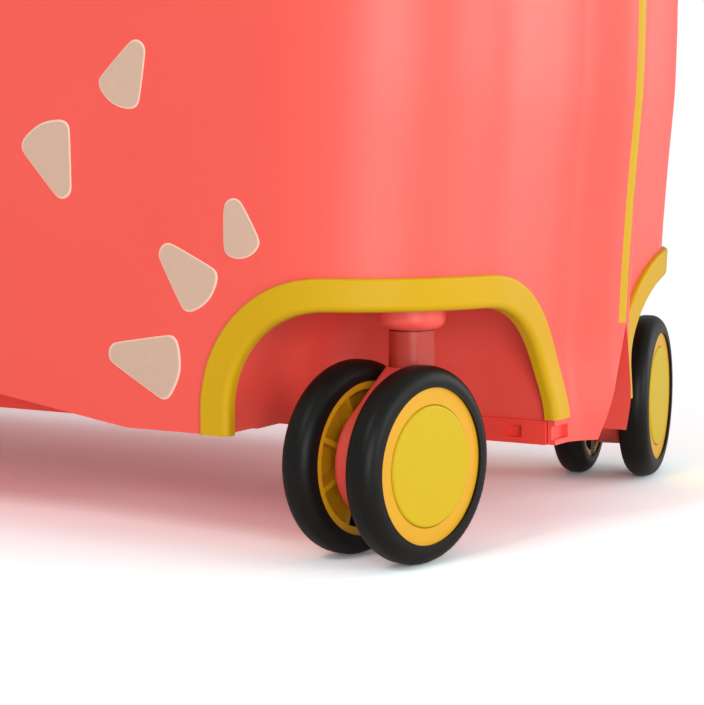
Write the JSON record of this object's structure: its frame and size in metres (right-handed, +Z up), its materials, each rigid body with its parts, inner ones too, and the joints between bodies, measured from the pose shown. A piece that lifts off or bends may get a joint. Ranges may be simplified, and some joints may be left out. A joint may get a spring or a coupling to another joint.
{
  "type": "ride on suitcase",
  "caption": "Ride-on suitcase with hinged coral plastic half shells, yellow wheel arches, swivel casters with paired wheels, end latches and a folding carry handle.",
  "frame": {"origin": "on the floor under the middle of the case", "axes": "+X towards the front end, +Y to the rider's left, +Z up"},
  "size_m": [0.4702, 0.2192, 0.312],
  "materials": {
    "coral_plastic": "satin",
    "coral_tray": "satin",
    "frosted_coral": "frosted",
    "yellow_trim": "satin",
    "yellow_rim": "satin",
    "black_rubber": "matte",
    "steel": "brushed"
  },
  "bodies": {
    "right_half": {"right_shell": "coral_plastic", "seam_strip": "yellow_trim", "front_right_arch_trim": "yellow_trim", "rear_right_arch_trim": "yellow_trim", "right_undertray": "coral_tray", "right_undertray_screws": "steel", "right_caster_sockets": "coral_plastic", "right_hinge_leaf": "coral_tray", "hinge_pin": "steel", "latch_bases": "yellow_trim", "latch_pins": "steel", "handle_brackets": "yellow_trim"},
    "left_half": {"left_shell": "coral_plastic", "front_left_arch_trim": "yellow_trim", "rear_left_arch_trim": "yellow_trim", "left_undertray": "coral_tray", "left_undertray_screws": "steel", "left_caster_sockets": "coral_plastic", "left_hinge_leaf": "coral_tray", "latch_keepers": "yellow_trim"},
    "front_latch": {"front_latch_lever": "yellow_trim"},
    "rear_latch": {"rear_latch_lever": "yellow_trim"},
    "handle": {"carry_handle": "yellow_trim"},
    "front_right_caster": {"front_right_fork": "coral_plastic", "front_right_stem": "frosted_coral", "front_right_axle": "steel"},
    "front_right_inner_wheel": {"front_right_inner_tyre": "black_rubber", "front_right_inner_rim": "yellow_rim", "front_right_inner_hub_cap": "yellow_trim"},
    "front_right_outer_wheel": {"front_right_outer_tyre": "black_rubber", "front_right_outer_rim": "yellow_rim", "front_right_outer_hub_cap": "yellow_trim"},
    "rear_right_caster": {"rear_right_fork": "coral_plastic", "rear_right_stem": "frosted_coral", "rear_right_axle": "steel"},
    "rear_right_inner_wheel": {"rear_right_inner_tyre": "black_rubber", "rear_right_inner_rim": "yellow_rim", "rear_right_inner_hub_cap": "yellow_trim"},
    "rear_right_outer_wheel": {"rear_right_outer_tyre": "black_rubber", "rear_right_outer_rim": "yellow_rim", "rear_right_outer_hub_cap": "yellow_trim"},
    "front_left_caster": {"front_left_fork": "coral_plastic", "front_left_stem": "frosted_coral", "front_left_axle": "steel"},
    "front_left_inner_wheel": {"front_left_inner_tyre": "black_rubber", "front_left_inner_rim": "yellow_rim", "front_left_inner_hub_cap": "yellow_trim"},
    "front_left_outer_wheel": {"front_left_outer_tyre": "black_rubber", "front_left_outer_rim": "yellow_rim", "front_left_outer_hub_cap": "yellow_trim"},
    "rear_left_caster": {"rear_left_fork": "coral_plastic", "rear_left_stem": "frosted_coral", "rear_left_axle": "steel"},
    "rear_left_inner_wheel": {"rear_left_inner_tyre": "black_rubber", "rear_left_inner_rim": "yellow_rim", "rear_left_inner_hub_cap": "yellow_trim"},
    "rear_left_outer_wheel": {"rear_left_outer_tyre": "black_rubber", "rear_left_outer_rim": "yellow_rim", "rear_left_outer_hub_cap": "yellow_trim"}
  },
  "joints": [
    {"name": "case_opening", "type": "hinge", "parent": "right_half", "child": "left_half", "pos_m": [0, 0, 0.026], "axis": [-1, 0, 0], "range_deg": [0, 95]},
    {"name": "front_latch_swing", "type": "hinge", "parent": "right_half", "child": "front_latch", "pos_m": [0.2316, -0.017, 0.2], "axis": [0, 0, -1], "range_deg": [0, 110]},
    {"name": "rear_latch_swing", "type": "hinge", "parent": "right_half", "child": "rear_latch", "pos_m": [-0.2316, -0.017, 0.2], "axis": [0, 0, 1], "range_deg": [0, 110]},
    {"name": "handle_fold", "type": "hinge", "parent": "right_half", "child": "handle", "pos_m": [0, -0.022, 0.297], "axis": [-1, 0, 0], "range_deg": [0, 90]},
    {"name": "front_right_swivel", "type": "hinge", "parent": "right_half", "child": "front_right_caster", "pos_m": [0.186, -0.07, 0.084], "axis": [0, 0, 1], "continuous": true},
    {"name": "front_right_inner_wheel_spin", "type": "hinge", "parent": "front_right_caster", "child": "front_right_inner_wheel", "pos_m": [0.17293, -0.07856, 0.027], "axis": [0.9816, -0.1908, 0], "continuous": true},
    {"name": "front_right_outer_wheel_spin", "type": "hinge", "parent": "front_right_caster", "child": "front_right_outer_wheel", "pos_m": [0.19491, -0.08284, 0.027], "axis": [0.9816, -0.1908, 0], "continuous": true},
    {"name": "rear_right_swivel", "type": "hinge", "parent": "right_half", "child": "rear_right_caster", "pos_m": [-0.186, -0.07, 0.084], "axis": [0, 0, 1], "continuous": true},
    {"name": "rear_right_inner_wheel_spin", "type": "hinge", "parent": "rear_right_caster", "child": "rear_right_inner_wheel", "pos_m": [-0.19907, -0.07856, 0.027], "axis": [0.9816, -0.1908, 0], "continuous": true},
    {"name": "rear_right_outer_wheel_spin", "type": "hinge", "parent": "rear_right_caster", "child": "rear_right_outer_wheel", "pos_m": [-0.17709, -0.08284, 0.027], "axis": [0.9816, -0.1908, 0], "continuous": true},
    {"name": "front_left_swivel", "type": "hinge", "parent": "left_half", "child": "front_left_caster", "pos_m": [0.186, 0.07, 0.084], "axis": [0, 0, 1], "continuous": true},
    {"name": "front_left_inner_wheel_spin", "type": "hinge", "parent": "front_left_caster", "child": "front_left_inner_wheel", "pos_m": [0.19491, 0.08284, 0.027], "axis": [-0.9816, -0.1908, 0], "continuous": true},
    {"name": "front_left_outer_wheel_spin", "type": "hinge", "parent": "front_left_caster", "child": "front_left_outer_wheel", "pos_m": [0.17293, 0.07856, 0.027], "axis": [-0.9816, -0.1908, 0], "continuous": true},
    {"name": "rear_left_swivel", "type": "hinge", "parent": "left_half", "child": "rear_left_caster", "pos_m": [-0.186, 0.07, 0.084], "axis": [0, 0, 1], "continuous": true},
    {"name": "rear_left_inner_wheel_spin", "type": "hinge", "parent": "rear_left_caster", "child": "rear_left_inner_wheel", "pos_m": [-0.17709, 0.08284, 0.027], "axis": [-0.9816, -0.1908, 0], "continuous": true},
    {"name": "rear_left_outer_wheel_spin", "type": "hinge", "parent": "rear_left_caster", "child": "rear_left_outer_wheel", "pos_m": [-0.19907, 0.07856, 0.027], "axis": [-0.9816, -0.1908, 0], "continuous": true}
  ]
}
